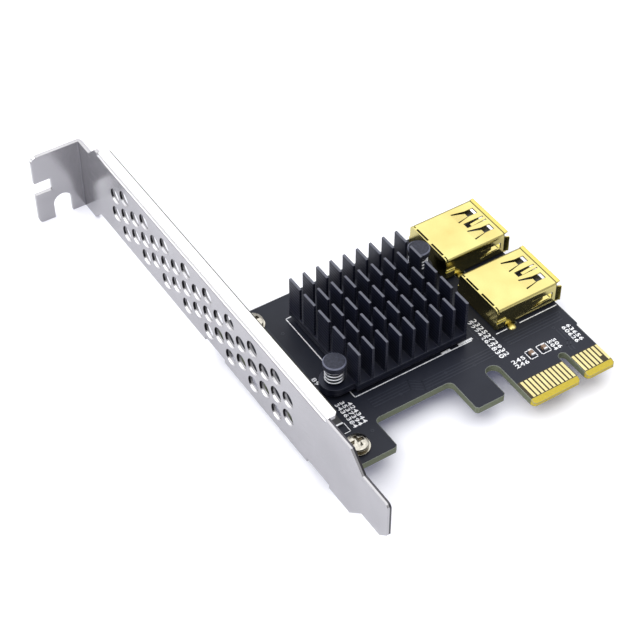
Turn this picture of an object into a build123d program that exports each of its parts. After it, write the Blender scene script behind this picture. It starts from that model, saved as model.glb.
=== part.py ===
from build123d import *
from math import cos, radians, tan
import os

os.makedirs("parts", exist_ok=True)

# The card lies flat, component side up. X runs along the card, away from the bracket,
# Y runs from the edge fingers towards the bracket's screw tab, and Z is up.
# The origin is the centre of the key slot, at the tips of the fingers, at half the board's thickness.

# Board
board_thickness = 1.6
board_height = 52.4
board_bracket_gap = 1.6
board_end_step = 0.45
foot_length = 13.2
foot_y = 5.6
bay_length = 18.4
bay_y = 13.75
hook_y = 5.0
relief_slot_width = 3.35
relief_slot_y = 12.9
bay_corner_radius = 1.2
board_corner_cut = 0.5
step_y = 12.4

# Edge fingers: two rows of contacts on a bevelled tongue with a key slot
contact_pitch = 1.0
contact_width = 0.64
contact_length = 4.5
contact_from_bevel = 0.15
contact_plating = 0.05
short_contact_cut = 1.5
contacts_before_key = 11
contacts_after_key = 7
key_width = 1.9
key_depth = 8.0
key_margin = 0.23
finger_start_margin = 0.78
finger_end_margin = 0.03
bevel_length = 1.3
bevel_angle = 20

# Bracket: one folded sheet
sheet = 0.9
bend_radius = 0.2
bracket_length = 120.02
plate_width = 18.42
bracket_to_key = 57.15
tab_top_y = 106.9
tab_length = 11.43
tab_offset = 3.17
tab_neck_length = 5.7
tab_corner_radius = 1.2
screw_slot_width = 4.42
screw_slot_depth = 5.9
screw_slot_from_plate = 5.3
end_notch_width = 3.4
end_notch_depth = 4.0
end_notch_from_edge = 8.0
tongue_width = 10.6
tongue_length = 8.1
tongue_corner_radius = 1.1
tongue_corner_cut = 2.2
flange_width = 2.9
flange_start_gap = 8.31
flange_end_gap = 1.23
flange_corner_cut = 0.8
lug_length = 12.0
lug_width = 6.6
lug_corner_radius = 1.6
lug_relief_width = 0.6
lug_relief_depth = 0.9
vent_hole_diameter = 3.7
vent_pitch = 5.0
vent_columns = 17
vent_first_y = 20.4
vent_centre_drop = 0.3

# Bracket screws with their washers
screw_from_plate = 9.05
first_screw_from_foot = 4.2
second_screw_from_back = 3.9
screw_diameter = 2.5
screw_head_diameter = 4.4
screw_head_height = 0.9
screw_head_dome = 0.5
screw_tip_below_lug = 1.0
screw_clearance = 0.2
recess_width = 0.8
recess_length = 2.9
recess_depth = 0.7
flat_washer_diameter = 5.2
flat_washer_thickness = 0.4
lock_washer_diameter = 4.5
lock_washer_thickness = 0.6
lock_washer_gap = 0.35
lock_washer_split_angle = 30
thread_clearance = 0.03

# Heatsink with its chip and thermal pad
heatsink_from_start = 27.15
heatsink_from_back = 19.0
chip_size = 9.0
chip_thickness = 0.9
chip_corner_cut = 0.6
pad_overhang = 0.5
pad_thickness = 0.3
base_thickness = 1.7
fin_height = 8.5
fin_thickness = 0.55
fin_length = 3.93
fin_pitch_x = 3.23
fin_pitch_y = 5.33
fin_columns = 9
fin_rows = 5
base_overhang = 0.05
ear_radius = 3.1
ear_reach = 3.0
ear_from_corner = 3.92

# Push pins and their springs
pin_diameter = 2.7
pin_clearance = 0.2
pin_head_overhang = 0.34
pin_head_thickness = 1.4
pin_head_edge = 0.25
barb_catch = 0.35
barb_length = 2.0
barb_tip_diameter = 1.6
barb_slit = 0.6
spring_wire = 0.36
spring_clearance = 0.35
spring_height = 3.9
spring_turns = 4

# Gold sockets, mouths facing +X
socket_from_back = 8.2
socket_pitch = 17.7
socket_mouth_overhang = 0.6
socket_length = 16.2
socket_width = 13.1
socket_height = 5.75
shell_thickness = 0.3
shell_corner_radius = 0.8
lip_length = 0.95
lip_side_flare = 0.5
lip_top_flare = 0.12
lip_corner_gap = 0.9
lip_corner_overlap = 0.3
spring_window_length = 2.2
spring_window_inset = 1.85
finger_length = 3.1
finger_root_width = 3.2
finger_tip_width = 1.8
finger_spacing = 6.0
slit_width = 0.35
centre_finger_length = 3.6
centre_finger_width = 1.5
centre_window_length = 1.4
centre_window_inset = 5.1
side_finger_root_width = 2.5
side_finger_tip_width = 1.6
finger_bend_angle = 7
finger_root_overlap = 0.15
rear_slit_length = 4.0
rear_slit_gap = 1.36
rear_slit_width = 0.3
rear_notch_length = 1.3
rear_notch_depth = 1.0
leg_width = 1.9
leg_from_rear = 3.9
leg_below_board = 0.9
leg_hole_clearance = 0.25
clip_length = 2.2
clip_height = 1.5

# Socket insulator and contacts
insulator_clearance = 0.05
insulator_from_rear_wall = 0.7
insulator_depth = 4.9
tongue_plate_side_gap = 0.7
tongue_plate_thickness = 1.85
tongue_plate_drop = 0.75
tongue_plate_recess = 2.0
socket_contact_thickness = 0.25
long_contact_width = 0.6
short_contact_width = 0.4
long_contact_y = (-3.5, -1.0, 1.0, 3.5)
short_contact_y = (-4.1, -2.0, 0.0, 2.0, 4.1)
short_contact_recess = 4.2
tail_width = 0.5
tail_clearance = 0.2
tail_below_board = 0.9
long_tail_from_rear = 1.3
short_tail_from_rear = 2.9
floor_cut_margin = 1.5

# Chip capacitors and resistors: length, width and height
capacitor_size = (1.6, 0.85, 0.75)
resistor_size = (3.2, 1.6, 0.6)
terminal_length = 0.35
capacitor_places = ((-5.05, 11.0), (-2.0, 10.9))
resistor_from_start = 6.45
resistor_from_heatsink = (-16.0, -11.6)

# Places and sizes that follow from those above
board_top = board_thickness / 2
board_bottom = -board_thickness / 2
plate_x = -bracket_to_key
plate_bottom = board_bottom - sheet
plate_top = plate_bottom + plate_width
plate_middle = plate_bottom + plate_width / 2
tab_bottom = plate_bottom - tab_offset
tab_top = tab_bottom + plate_width
tongue_tip_y = tab_top_y - bracket_length
tongue_root_y = tongue_tip_y + tongue_length
tongue_taper = (plate_width - tongue_width) / 2
neck_y = tab_top_y - tab_neck_length
flange_start_y = tongue_root_y + tongue_taper + flange_start_gap
flange_end_y = neck_y - tab_offset - flange_end_gap
fold_size = bend_radius + sheet
base_bottom = board_top + chip_thickness + pad_thickness
base_top = base_bottom + base_thickness
screw_x = plate_x + screw_from_plate
screw_y = (foot_y + first_screw_from_foot, board_height - second_screw_from_back)
board_start_x = plate_x + sheet + board_bracket_gap
foot_end_x = board_start_x + foot_length
hook_start_x = foot_end_x + bay_length
key_to_contact = key_width / 2 + key_margin + contact_width / 2
first_contact_x = -key_to_contact - (contacts_before_key - 1) * contact_pitch
last_contact_x = key_to_contact + (contacts_after_key - 1) * contact_pitch
finger_start_x = first_contact_x - contact_width / 2 - finger_start_margin
finger_end_x = last_contact_x + contact_width / 2 + finger_end_margin
board_end_x = finger_end_x + board_end_step
heatsink_x = board_start_x + heatsink_from_start
heatsink_y = board_height - heatsink_from_back
fin_span_x = (fin_columns - 1) * fin_pitch_x + fin_thickness
fin_span_y = (fin_rows - 1) * fin_pitch_y + fin_length
ear_offset_x = fin_span_x / 2 + ear_reach
ear_offset_y = fin_span_y / 2 - ear_from_corner
pin_places = [(heatsink_x + side * ear_offset_x, heatsink_y + side * ear_offset_y) for side in (-1, 1)]
pin_hole_diameter = pin_diameter + 2 * pin_clearance
barb_diameter = pin_hole_diameter + 2 * barb_catch
spring_radius = pin_diameter / 2 + spring_clearance + spring_wire / 2
pin_head_diameter = 2 * spring_radius + spring_wire + 2 * pin_head_overhang
pin_head_bottom = base_top + spring_height
pin_head_top = pin_head_bottom + pin_head_thickness
socket_y = (board_height - socket_from_back - socket_pitch, board_height - socket_from_back)
socket_bottom = board_top
socket_top = socket_bottom + socket_height
socket_mouth_x = board_end_x + socket_mouth_overhang
socket_rear_x = socket_mouth_x - socket_length
lip_start_x = socket_mouth_x - lip_length
leg_x = socket_rear_x + leg_from_rear
leg_places = [(leg_x, y + side * (socket_width - shell_thickness) / 2) for y in socket_y for side in (-1, 1)]
resistor_x = board_start_x + resistor_from_start
resistor_places = [(resistor_x, heatsink_y + y) for y in resistor_from_heatsink]


def contact_positions():
    """Centres of the edge contacts along X, from the bracket end to the far end."""
    before = [first_contact_x + contact_pitch * n for n in range(contacts_before_key)]
    after = [key_to_contact + contact_pitch * n for n in range(contacts_after_key)]
    return before + after


def open_slot(x, width, top_y):
    """A slot that is open at the bottom and has a round top."""
    radius = width / 2
    centre_y = top_y - radius
    return Pos(x, centre_y / 2) * Rectangle(width, centre_y) + Pos(x, centre_y) * Circle(radius)


def vertices_at(face, points):
    """The vertices of a face that lie at the named points."""
    return [v for v in face.vertices() for p in points if abs(v.X - p[0]) < 1e-4 and abs(v.Y - p[1]) < 1e-4]


def board_outline():
    """The outline with its foot, bay, hook and finger tongue."""
    slot_x = finger_start_x - relief_slot_width / 2
    slot_edge_x = slot_x - relief_slot_width / 2
    face = make_face(
        Polyline(
            (board_start_x, board_height),
            (board_start_x, foot_y),
            (foot_end_x, foot_y),
            (foot_end_x, bay_y),
            (hook_start_x, bay_y),
            (hook_start_x, hook_y),
            (slot_x, hook_y),
            (slot_x, 0),
            (finger_end_x, 0),
            (finger_end_x, step_y),
            (board_end_x, step_y + board_end_x - finger_end_x),
            (board_end_x, board_height),
            close=True,
        )
    )
    face -= open_slot(slot_x, relief_slot_width, relief_slot_y)
    face -= open_slot(0, key_width, key_depth)
    bay_corners = [(foot_end_x, bay_y), (hook_start_x, bay_y)]
    face = fillet(vertices_at(face, bay_corners), bay_corner_radius)
    outer_corners = [
        (foot_end_x, foot_y),
        (hook_start_x, hook_y),
        (slot_edge_x, hook_y),
        (finger_start_x, 0),
        (-key_width / 2, 0),
        (key_width / 2, 0),
        (finger_end_x, 0),
    ]
    return chamfer(vertices_at(face, outer_corners), board_corner_cut)


def tail_places(y_centre):
    """Where the contact tails of one socket go through the board."""
    long_x = socket_rear_x + long_tail_from_rear
    short_x = socket_rear_x + short_tail_from_rear
    places = [(long_x, y_centre + y) for y in long_contact_y]
    return places + [(short_x, y_centre + y) for y in short_contact_y]


def board_holes():
    """The holes for screws, push pins, contact tails and socket legs."""
    screw_drill = Cylinder(screw_diameter / 2 + screw_clearance, board_thickness)
    holes = [Pos(screw_x, y) * screw_drill for y in screw_y]
    holes += [Pos(x, y) * Cylinder(pin_hole_diameter / 2, board_thickness) for x, y in pin_places]
    for y_centre in socket_y:
        drill = Cylinder(tail_width / 2 + tail_clearance, board_thickness)
        holes += [Pos(x, y) * drill for x, y in tail_places(y_centre)]
    leg_slot = (leg_width + 2 * leg_hole_clearance, shell_thickness + 2 * leg_hole_clearance, board_thickness)
    holes += [Pos(x, y) * Box(*leg_slot) for x, y in leg_places]
    return holes


def finger_bevels():
    """The wedges that bevel both faces of the finger tongue."""
    depth = bevel_length * tan(radians(bevel_angle))
    wedges = []
    for side in (-1, 1):
        bevel = Polyline(
            (0, side * (board_top - depth)),
            (bevel_length, side * board_top),
            (-bevel_length, side * board_top),
            close=True,
        )
        wedge = extrude(Plane.YZ * make_face(bevel), finger_end_x - finger_start_x)
        wedges.append(Pos(finger_start_x, 0, 0) * wedge)
    return wedges


def circuit_board():
    """The board with its bevelled tongue and its holes."""
    board = Pos(0, 0, board_bottom) * extrude(board_outline(), board_thickness)
    return board - finger_bevels() - board_holes()


def edge_contacts(side):
    """One row of contacts: on each face the presence contact is shorter."""
    places = contact_positions()
    short_one = places[-2] if side > 0 else places[0]
    row = []
    for x in places:
        start = bevel_length + contact_from_bevel
        end = start + contact_length
        if x == short_one:
            start += short_contact_cut
        z = side * (board_top + contact_plating / 2)
        row.append(Pos(x, (start + end) / 2, z) * Box(contact_width, end - start, contact_plating))
    return Compound(row)


def angle_strip(corner, along_a, along_b, leg_a, leg_b, width):
    """A folded strip: two legs from the outer corner, with a bend between them, centred on the corner."""
    plane = Plane(origin=corner, x_dir=along_a, z_dir=Vector(*along_a).cross(Vector(*along_b)))
    corners = [(0, 0), (leg_a, 0), (leg_a, sheet), (sheet, sheet), (sheet, leg_b), (0, leg_b)]
    profile = make_face(Polyline(*corners, close=True))
    profile = fillet(vertices_at(profile, [(0, 0)]), fold_size)
    profile = fillet(vertices_at(profile, [(sheet, sheet)]), bend_radius)
    return extrude(plane * profile, width / 2, both=True)


def plate_outline():
    """The outline of plate, neck and tongue, drawn in Y and Z."""
    half = tongue_width / 2
    face = make_face(
        Polyline(
            (tongue_tip_y, plate_middle - half + tongue_corner_cut),
            (tongue_tip_y + tongue_corner_cut, plate_middle - half),
            (tongue_root_y, plate_middle - half),
            (tongue_root_y + tongue_taper, plate_bottom),
            (neck_y - tab_offset, plate_bottom),
            (neck_y, tab_bottom),
            (tab_top_y, tab_bottom),
            (tab_top_y, tab_top),
            (neck_y, tab_top),
            (neck_y - tab_offset, plate_top),
            (tongue_root_y + tongue_taper, plate_top),
            (tongue_root_y, plate_middle + half),
            (tongue_tip_y, plate_middle + half),
            close=True,
        )
    )
    return fillet(vertices_at(face, [(tongue_tip_y, plate_middle + half)]), tongue_corner_radius)


def tab_cutouts():
    """The open screw slot, the notch in the end and the rounded corners of the tab."""
    end_x = plate_x - tab_length
    slot_x = plate_x - screw_slot_from_plate
    radius = screw_slot_width / 2
    straight = screw_slot_depth - radius
    slot = Pos(slot_x, tab_bottom + straight / 2) * Rectangle(screw_slot_width, straight)
    slot += Pos(slot_x, tab_bottom + straight) * Circle(radius)
    notch_z = tab_bottom + end_notch_from_edge + end_notch_width / 2
    slot += Pos(end_x + end_notch_depth / 2, notch_z) * Rectangle(end_notch_depth, end_notch_width)
    for corner_z, inward in ((tab_bottom, 1), (tab_top, -1)):
        square = Pos(end_x + tab_corner_radius / 2, corner_z + inward * tab_corner_radius / 2)
        slot += square * Rectangle(tab_corner_radius, tab_corner_radius)
        round_centre = Pos(end_x + tab_corner_radius, corner_z + inward * tab_corner_radius)
        slot -= round_centre * Circle(tab_corner_radius)
    return Pos(0, tab_top_y - sheet / 2, 0) * extrude(Plane.XZ * slot, sheet, both=True)


def vent_holes():
    """The staggered rows of round holes in the plate: two and three in turn."""
    rise = vent_pitch / 2
    column_spacing = vent_pitch * cos(radians(30))
    centre_z = plate_middle - vent_centre_drop
    holes = []
    for column in range(vent_columns):
        y = vent_first_y + column * column_spacing
        levels = (-1, 1) if column % 2 == 0 else (-2, 0, 2)
        for level in levels:
            drill = Cylinder(vent_hole_diameter / 2, 2 * sheet, rotation=(0, 90, 0))
            holes.append(Pos(plate_x + sheet / 2, y, centre_z + level * rise) * drill)
    return holes


def side_flange():
    """The narrow flange folded inwards along the plate's top edge."""
    middle_y = (flange_start_y + flange_end_y) / 2
    length = flange_end_y - flange_start_y
    corner = (plate_x, middle_y, plate_top)
    flange = angle_strip(corner, (1, 0, 0), (0, 0, -1), flange_width, plate_width / 2, length)
    outer = [e for e in flange.edges().filter_by(Axis.Z) if abs(e.center().X - plate_x - flange_width) < 1e-4]
    return chamfer(outer, flange_corner_cut)


def mounting_lug(y):
    """A lug folded inwards from the plate's lower edge, under the board."""
    corner = (plate_x, y, plate_bottom)
    lug = angle_strip(corner, (1, 0, 0), (0, 0, 1), lug_length, plate_width / 2, lug_width)
    outer = [e for e in lug.edges().filter_by(Axis.Z) if abs(e.center().X - plate_x - lug_length) < 1e-4]
    lug = fillet(outer, lug_corner_radius)
    hole = Cylinder(screw_diameter / 2 + thread_clearance, 2 * sheet)
    return lug - Pos(screw_x, y, plate_bottom + sheet / 2) * hole


def fold_gap(y, length, edge_z):
    """What a folded strip takes the place of at the plate's edge."""
    return Pos(plate_x + sheet / 2, y, edge_z) * Box(sheet, length, 2 * fold_size)


def lug_reliefs(y):
    """The nicks on both sides of a lug's bend."""
    nick = Box(sheet, lug_relief_width, 2 * lug_relief_depth)
    reach = (lug_width + lug_relief_width) / 2
    return [Pos(plate_x + sheet / 2, y + side * reach, plate_bottom) * nick for side in (-1, 1)]


def bracket():
    """The bracket: plate, screw tab, tongue, flange and two lugs from one sheet."""
    strip_width = plate_width + 2 * tab_offset
    corner = (plate_x + sheet, tab_top_y, plate_middle - tab_offset / 2)
    strip = angle_strip(corner, (0, -1, 0), (-1, 0, 0), bracket_length, tab_length + sheet, strip_width)
    outline = extrude(Plane.YZ * plate_outline(), tab_length + sheet, both=True)
    body = strip & (Pos(plate_x, 0, 0) * outline)
    body -= fold_gap((flange_start_y + flange_end_y) / 2, flange_end_y - flange_start_y, plate_top)
    body += side_flange()
    for y in screw_y:
        body -= fold_gap(y, lug_width, plate_bottom)
        body += mounting_lug(y)
        body -= lug_reliefs(y)
    return body - tab_cutouts() - vent_holes()


def bracket_screws():
    """Pan-head screws with a cross recess, through the board into the lugs."""
    seat = board_top + flat_washer_thickness + lock_washer_thickness
    top = seat + screw_head_height
    rim = top - screw_head_dome
    tip = plate_bottom - screw_tip_below_lug
    shank = screw_diameter / 2
    head = screw_head_diameter / 2
    outline = Polyline((0, top), (0, tip), (shank, tip), (shank, seat), (head, seat), (head, rim))
    dome = TangentArc((0, top), (head, rim), tangent=(1, 0))
    screw = revolve(Plane.XZ * make_face(outline + dome), Axis.Z)
    for angle in (0, 90):
        slot = Box(recess_length, recess_width, 2 * recess_depth)
        screw -= Pos(0, 0, top) * Rot(0, 0, angle) * slot
    return Compound([Pos(screw_x, y, 0) * screw for y in screw_y])


def washer(diameter, thickness, bottom):
    """A plain ring with its lower face at the given height."""
    ring = Circle(diameter / 2) - Circle(screw_diameter / 2 + thread_clearance)
    return Pos(0, 0, bottom) * extrude(ring, thickness)


def flat_washers():
    """The flat washers on the board."""
    ring = washer(flat_washer_diameter, flat_washer_thickness, board_top)
    return Compound([Pos(screw_x, y, 0) * ring for y in screw_y])


def lock_washers():
    """The split lock washers between flat washer and screw head."""
    ring = washer(lock_washer_diameter, lock_washer_thickness, board_top + flat_washer_thickness)
    split = Pos(lock_washer_diameter / 2, 0, board_top + flat_washer_thickness + lock_washer_thickness / 2)
    cutter = Box(lock_washer_diameter, lock_washer_gap, 4 * lock_washer_thickness)
    ring -= split * Rot(lock_washer_split_angle, 0, 0) * cutter
    return Compound([Pos(screw_x, y, 0) * ring for y in screw_y])


def heatsink():
    """The base with its two ears, and the cross-cut fins."""
    base = Rectangle(fin_span_x + 2 * base_overhang, fin_span_y + 2 * base_overhang)
    for side in (-1, 1):
        base += Pos(side * ear_offset_x, side * ear_offset_y) * Circle(ear_radius)
        neck_x = side * (ear_offset_x - ear_reach / 2)
        base += Pos(neck_x, side * ear_offset_y) * Rectangle(ear_reach, 2 * ear_radius)
        base -= Pos(side * ear_offset_x, side * ear_offset_y) * Circle(pin_hole_diameter / 2)
    body = Pos(0, 0, base_bottom) * extrude(base, base_thickness)
    fins = GridLocations(fin_pitch_x, fin_pitch_y, fin_columns, fin_rows)
    fin = Pos(0, 0, base_top + fin_height / 2) * Box(fin_thickness, fin_length, fin_height)
    body += [place * fin for place in fins]
    return Pos(heatsink_x, heatsink_y, 0) * body


def switch_chip():
    """The flat chip under the heatsink, with one corner cut to mark its first lead."""
    face = Rectangle(chip_size, chip_size)
    face = chamfer(face.vertices().sort_by(Axis.X)[:2].sort_by(Axis.Y)[0], chip_corner_cut)
    return Pos(heatsink_x, heatsink_y, board_top) * extrude(face, chip_thickness)


def thermal_pad():
    """The soft pad between chip and heatsink."""
    height = board_top + chip_thickness + pad_thickness / 2
    side = chip_size + 2 * pad_overhang
    return Pos(heatsink_x, heatsink_y, height) * Box(side, side, pad_thickness)


def push_pins():
    """Push pins: round head, shank, and a split barb that catches under the board."""
    barb_tip = board_bottom - barb_length
    profile = make_face(
        Polyline(
            (0, barb_tip),
            (barb_tip_diameter / 2, barb_tip),
            (barb_diameter / 2, board_bottom - barb_length / 4),
            (barb_diameter / 2, board_bottom),
            (pin_diameter / 2, board_bottom),
            (pin_diameter / 2, pin_head_bottom),
            (pin_head_diameter / 2, pin_head_bottom),
            (pin_head_diameter / 2, pin_head_top - pin_head_edge),
            (pin_head_diameter / 2 - pin_head_edge, pin_head_top),
            (0, pin_head_top),
            close=True,
        )
    )
    pin = revolve(Plane.XZ * profile, Axis.Z)
    slit_height = barb_length + board_thickness
    pin -= Pos(0, 0, barb_tip + slit_height / 2) * Box(barb_slit, barb_diameter, slit_height)
    return Compound([Pos(x, y, 0) * pin for x, y in pin_places])


def push_pin_springs():
    """Coil springs between the heatsink's ears and the pin heads."""
    height = spring_height - spring_wire
    path = Helix(height / spring_turns, height, spring_radius)
    section = Plane(path @ 0, z_dir=path % 0) * Circle(spring_wire / 2)
    coil = sweep(section, path, is_frenet=True)
    return Compound([Pos(x, y, base_top + spring_wire / 2) * coil for x, y in pin_places])


def mouth_frame(x, inset, side_flare=0, top_flare=0):
    """A rounded rectangle across the socket, in the plane X = x, larger by its flares."""
    width = socket_width - 2 * inset + 2 * side_flare
    height = socket_height - 2 * inset + top_flare
    plane = Plane(origin=(x, 0, socket_bottom + inset + height / 2), x_dir=(0, 1, 0), z_dir=(1, 0, 0))
    return plane * RectangleRounded(width, height, shell_corner_radius - inset)


def finger_outline(root_width, tip_width, length):
    """A tapered spring finger along +X, with its root edge on the Y axis."""
    root = root_width / 2
    tip = tip_width / 2
    return make_face(Polyline((0, -root), (length, -tip), (length, tip), (0, root), close=True))


def bent_finger(root_width, tip_width, length):
    """A spring finger that bends down from a sheet whose outer face is at Z = 0."""
    overlap = Pos(-finger_root_overlap / 2, 0) * Rectangle(finger_root_overlap, root_width)
    outline = finger_outline(root_width, tip_width, length) + overlap
    finger = extrude(outline, shell_thickness / 2, both=True)
    return Pos(0, 0, -shell_thickness / 2) * Rot(0, finger_bend_angle, 0) * finger


def finger_places():
    """Each finger's place, root width, tip width, length and the length of the window at its tip."""
    window_end_x = socket_mouth_x - spring_window_inset
    root_x = window_end_x - spring_window_length - finger_length
    middle_z = socket_bottom + socket_height / 2
    top_sizes = (finger_root_width, finger_tip_width, finger_length, spring_window_length)
    side_sizes = (side_finger_root_width, side_finger_tip_width, finger_length, spring_window_length)
    centre_sizes = (centre_finger_width, centre_finger_width, centre_finger_length, centre_window_length)
    centre_x = socket_mouth_x - centre_window_inset + centre_finger_length
    places = [(Pos(centre_x, 0, socket_top) * Rot(0, 0, 180), *centre_sizes)]
    for side in (-1, 1):
        places.append((Pos(root_x, side * finger_spacing / 2, socket_top), *top_sizes))
        wall = Pos(root_x, side * socket_width / 2, middle_z) * Rot(-side * 90, 0, 0)
        places.append((wall, *side_sizes))
    return places


def spring_fingers():
    """What the fingers' openings take from the sheet, and the bent fingers in them."""
    openings = []
    fingers = []
    for place, root_width, tip_width, length, window_length in finger_places():
        opening = finger_outline(root_width, tip_width, length)
        opening += Pos(length + window_length / 2, 0) * Rectangle(window_length, tip_width)
        openings.append(place * extrude(opening, shell_thickness, both=True))
        slits = 2 * slit_width
        fingers.append(place * bent_finger(root_width - slits, tip_width - slits, length))
    return openings, fingers


def shell_tube():
    """The tube of the shell with its rear wall, open to the board under the contact tails."""
    length = lip_start_x - socket_rear_x
    tube = extrude(mouth_frame(socket_rear_x, 0), length)
    tube -= extrude(mouth_frame(socket_rear_x + shell_thickness, shell_thickness), length)
    floor_length = short_tail_from_rear + floor_cut_margin
    floor = Box(floor_length, socket_width - 2 * shell_corner_radius, 2 * shell_thickness)
    tube -= Pos(socket_rear_x + floor_length / 2, 0, socket_bottom) * floor
    slit_x = socket_rear_x + shell_thickness + rear_slit_width / 2
    slit = Box(rear_slit_width, rear_slit_length, 2 * shell_thickness)
    notch = Box(rear_slit_width, 2 * rear_notch_length, 2 * rear_notch_depth)
    for side in (-1, 1):
        slit_y = side * (rear_slit_gap + rear_slit_length) / 2
        tube -= Pos(slit_x, slit_y, socket_top) * slit
        tube -= Pos(slit_x, side * socket_width / 2, socket_top) * notch
    return tube


def mouth_lip():
    """The flared lip round the mouth: the side lips are cut short of the corners."""
    flares = (lip_side_flare, lip_top_flare)
    lip = loft([mouth_frame(lip_start_x, 0), mouth_frame(socket_mouth_x, 0, *flares)])
    start = mouth_frame(lip_start_x, shell_thickness)
    lip -= loft([start, mouth_frame(socket_mouth_x, shell_thickness, *flares)])
    corner = Box(lip_length, 2 * lip_corner_gap, 2 * lip_corner_gap)
    for side in (-1, 1):
        corner_y = side * (socket_width / 2 - lip_corner_overlap + lip_corner_gap)
        for z in (socket_bottom, socket_top):
            lip -= Pos(socket_mouth_x - lip_length / 2, corner_y, z) * corner
    return lip


def legs_and_clips():
    """The legs that go through the board, and the clips that lock the rear wall."""
    leg_top = socket_bottom + shell_corner_radius + shell_thickness
    leg_bottom = board_bottom - leg_below_board
    leg = Box(leg_width, shell_thickness, leg_top - leg_bottom)
    clip = Box(clip_length, shell_thickness, clip_height)
    clip_x = socket_rear_x + clip_length / 2
    clip_z = socket_bottom + shell_corner_radius + clip_height / 2
    wall_y = (socket_width - shell_thickness) / 2
    pieces = []
    for side in (-1, 1):
        pieces.append(Pos(leg_x, side * wall_y, (leg_top + leg_bottom) / 2) * leg)
        pieces.append(Pos(clip_x, side * (wall_y + shell_thickness), clip_z) * clip)
    return pieces


def socket_shell():
    """The folded metal shell: tube, lip, spring fingers, legs and clips, at Y = 0."""
    openings, fingers = spring_fingers()
    return shell_tube() + mouth_lip() - openings + fingers + legs_and_clips()


def contact_strip(y, width, front_x, tail_x):
    """One bent contact: a strip under the tongue plate and a tail down through the board."""
    top = socket_top - shell_thickness - tongue_plate_drop - tongue_plate_thickness
    strip_z = top - socket_contact_thickness / 2
    strip = Pos((tail_x + front_x) / 2, y, strip_z) * Box(front_x - tail_x, width, socket_contact_thickness)
    tail_bottom = board_bottom - tail_below_board
    tail = Box(socket_contact_thickness, tail_width, top - tail_bottom)
    return strip + Pos(tail_x + socket_contact_thickness / 2, y, (top + tail_bottom) / 2) * tail


def socket_contacts():
    """Four long contacts and, between and behind them, five short ones, at Y = 0."""
    long_front = socket_mouth_x - tongue_plate_recess - socket_contact_thickness
    short_front = socket_mouth_x - tongue_plate_recess - short_contact_recess
    half = socket_contact_thickness / 2
    long_tail = socket_rear_x + long_tail_from_rear - half
    short_tail = socket_rear_x + short_tail_from_rear - half
    strips = [contact_strip(y, long_contact_width, long_front, long_tail) for y in long_contact_y]
    strips += [contact_strip(y, short_contact_width, short_front, short_tail) for y in short_contact_y]
    return strips


def socket_body(contacts):
    """The plastic insulator: a rear block that fills the shell, and the tongue plate, at Y = 0."""
    block_start = socket_rear_x + shell_thickness + insulator_from_rear_wall
    block = extrude(mouth_frame(block_start, shell_thickness + insulator_clearance), insulator_depth)
    plate_end = socket_mouth_x - tongue_plate_recess
    plate_start = block_start + insulator_depth / 2
    plate_z = socket_top - shell_thickness - tongue_plate_drop - tongue_plate_thickness / 2
    plate_width_y = socket_width - 2 * shell_thickness - 2 * tongue_plate_side_gap
    plate = Box(plate_end - plate_start, plate_width_y, tongue_plate_thickness)
    block += Pos((plate_start + plate_end) / 2, 0, plate_z) * plate
    for contact in contacts:
        block -= contact
    return block


def chip_parts(size, places):
    """Bodies and end terminals of chip parts that lie along Y."""
    length, width, height = size
    bodies = []
    terminals = []
    for x, y in places:
        body_length = length - 2 * terminal_length
        bodies.append(Pos(x, y, board_top + height / 2) * Box(width, body_length, height))
        for side in (-1, 1):
            end_y = y + side * (length - terminal_length) / 2
            terminals.append(Pos(x, end_y, board_top + height / 2) * Box(width, terminal_length, height))
    return bodies, terminals


def write(name, shape):
    """Write one sub-part as a STEP file."""
    export_step(shape, f"parts/{name}.step")


capacitor_bodies, capacitor_terminals = chip_parts(capacitor_size, capacitor_places)
resistor_bodies, resistor_terminals = chip_parts(resistor_size, resistor_places)

write("circuit_board", circuit_board())
write("edge_contacts_top", edge_contacts(1))
write("edge_contacts_bottom", edge_contacts(-1))
write("bracket", bracket())
write("bracket_screws", bracket_screws())
write("flat_washers", flat_washers())
write("lock_washers", lock_washers())
write("heatsink", heatsink())
write("switch_chip", switch_chip())
write("thermal_pad", thermal_pad())
write("push_pins", push_pins())
write("push_pin_springs", push_pin_springs())
shell = socket_shell()
contacts = socket_contacts()
insulator = socket_body(contacts)
for number, y in enumerate(socket_y, start=1):
    write(f"socket_shell_{number}", Pos(0, y, 0) * shell)
    write(f"socket_body_{number}", Pos(0, y, 0) * insulator)
    write(f"socket_contacts_{number}", Compound([Pos(0, y, 0) * c for c in contacts]))
write("capacitor_bodies", Compound(capacitor_bodies))
write("resistor_bodies", Compound(resistor_bodies))
write("chip_terminals", Compound(capacitor_terminals + resistor_terminals))
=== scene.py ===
import math

import bmesh
import bpy
from mathutils import Matrix, Vector


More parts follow.
